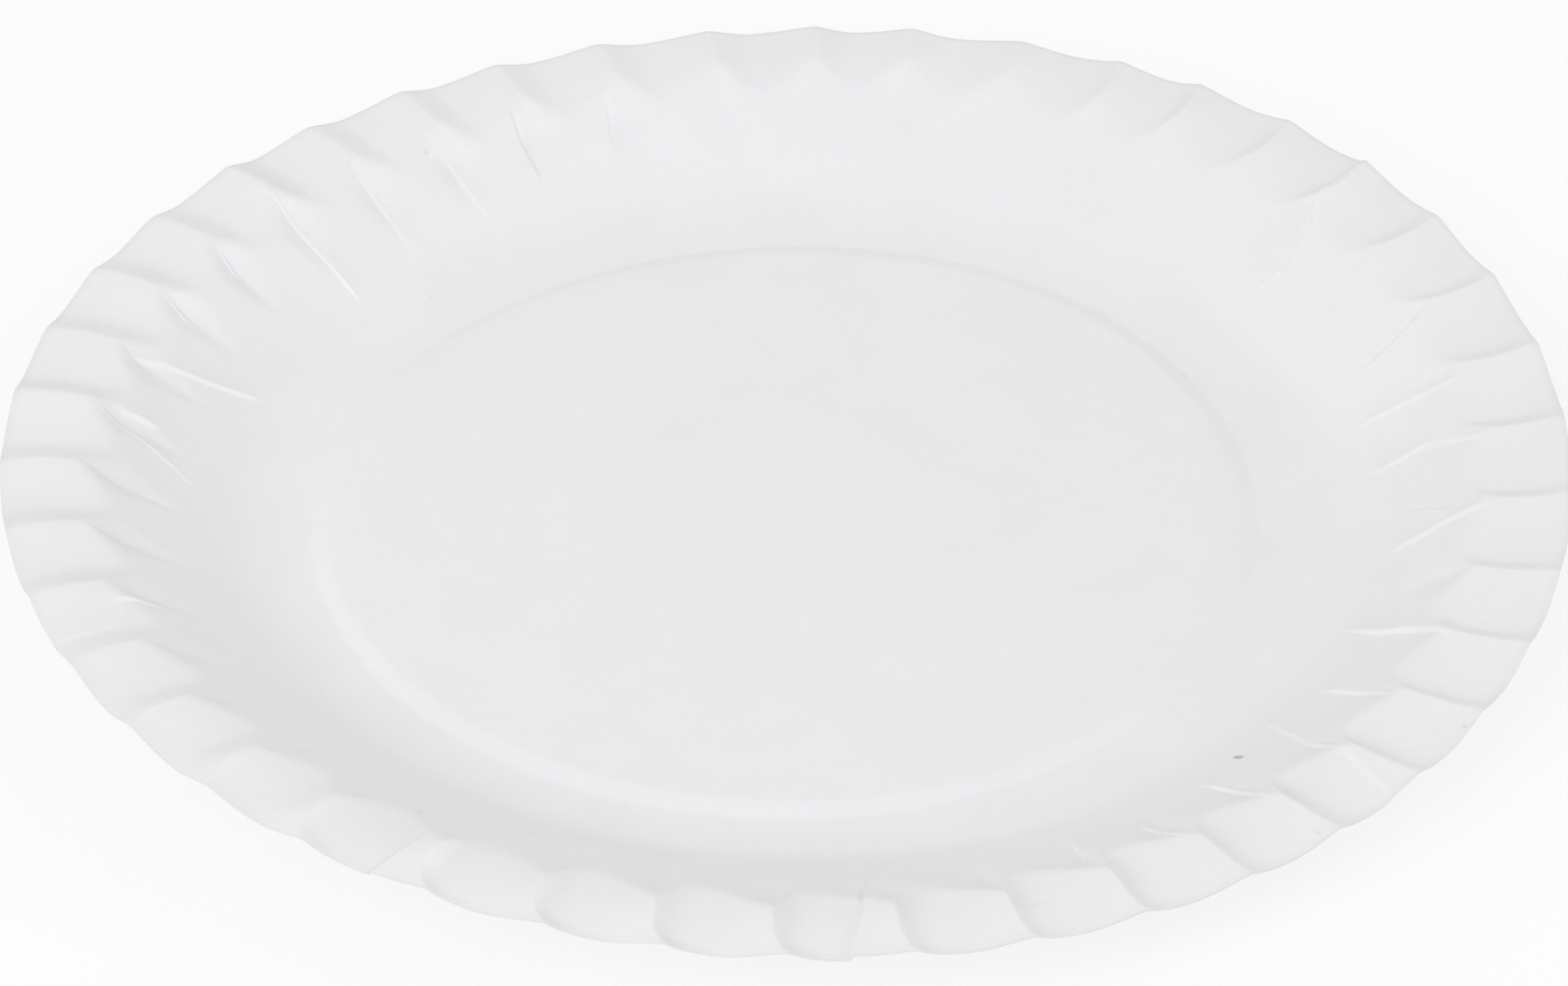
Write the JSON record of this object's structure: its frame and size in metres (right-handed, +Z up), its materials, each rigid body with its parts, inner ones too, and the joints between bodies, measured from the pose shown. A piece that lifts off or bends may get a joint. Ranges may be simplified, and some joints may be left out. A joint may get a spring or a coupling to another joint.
{
  "type": "paper plate",
  "caption": "Round coated paper plate: raised platform, resting ring, sloping bowl wall and a flat rim pressed into radial flutes.",
  "frame": {"origin": "centre of the plate, at the level of the surface that it rests on", "axes": "+Z up out of the dish along its axis, +X and +Y across the rim; the picture was taken looking along +Y and down"},
  "size_m": [0.23, 0.23, 0.0139],
  "materials": {
    "coated_paper": "white coated paperboard, satin"
  },
  "bodies": {
    "root": {"plate": "coated_paper"}
  },
  "joints": []
}
